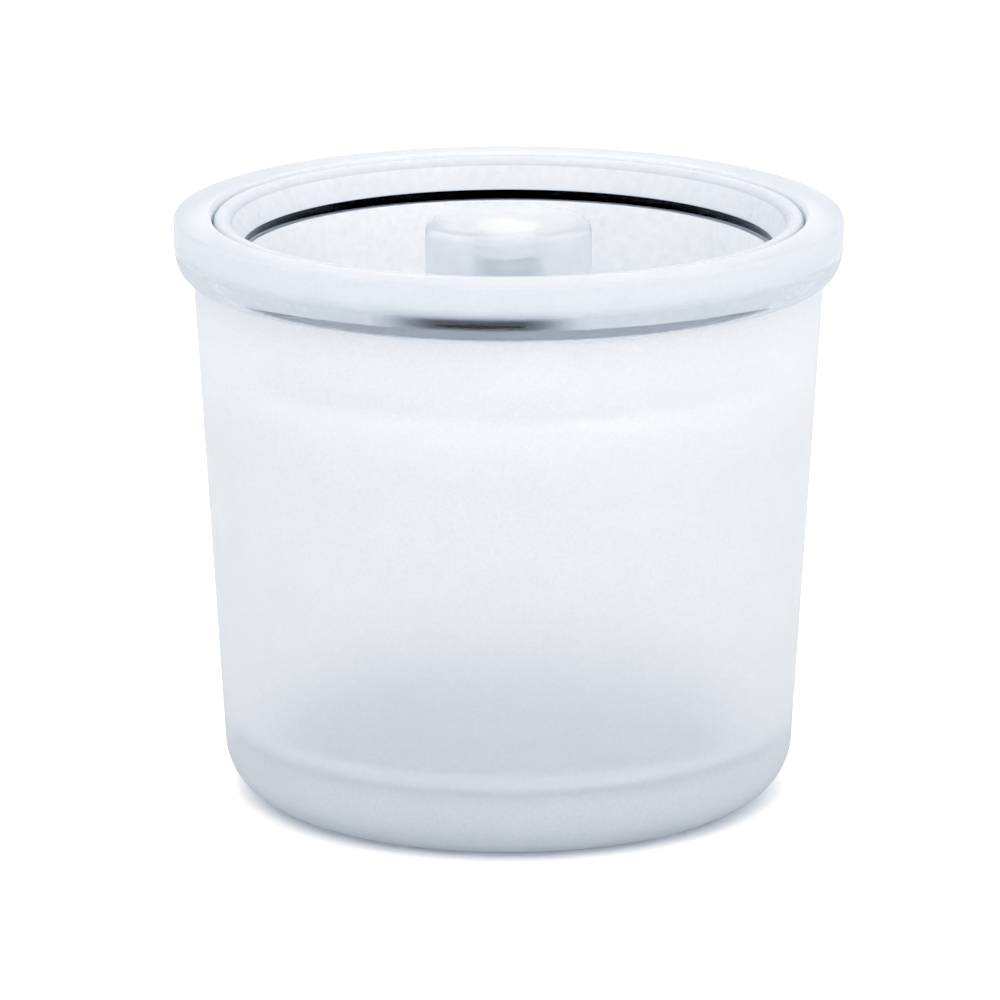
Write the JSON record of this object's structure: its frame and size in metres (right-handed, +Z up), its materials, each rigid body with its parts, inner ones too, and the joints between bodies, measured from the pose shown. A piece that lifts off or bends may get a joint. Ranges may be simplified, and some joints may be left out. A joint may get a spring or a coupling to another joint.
{
  "type": "lidded dappen dish",
  "caption": "Small frosted cup with a clear collar round its mouth and a recessed clear lid with a round knob, for nail liquids.",
  "frame": {"origin": "middle of the base, on the plane that the foot ring rests on", "axes": "+Z up along the dish's axis, towards the lid; +X and +Y are alike, because the dish is round"},
  "size_m": [0.045, 0.045, 0.04],
  "materials": {
    "frosted_glass": "frosted outside, with a cool white cast",
    "clear_collar": "polished, clear, slightly milky",
    "clear_lid": "polished, clear",
    "clear_knob": "polished, clear, slightly milky",
    "black_silicone": "smooth, satin black",
    "clear_silicone": "translucent white, satin",
    "white_nylon": "moulded, natural white, semi-gloss"
  },
  "bodies": {
    "dish": {"cup": "frosted_glass", "rim_collar": "clear_collar"},
    "seal": {"seal_ring": "black_silicone"},
    "lid": {"recessed_lid": "clear_lid", "lid_knob": "clear_knob", "knob_gasket": "clear_silicone", "screw_washer": "white_nylon", "knob_screw": "white_nylon"}
  },
  "joints": [
    {"name": "lid_lift", "type": "slide", "parent": "dish", "child": "seal", "axis": [0, 0, 1], "range_m": [0, 0.03]},
    {"name": "lid_turn", "type": "hinge", "parent": "seal", "child": "lid", "pos_m": [0, 0, 0.038], "axis": [0, 0, 1], "continuous": true}
  ]
}
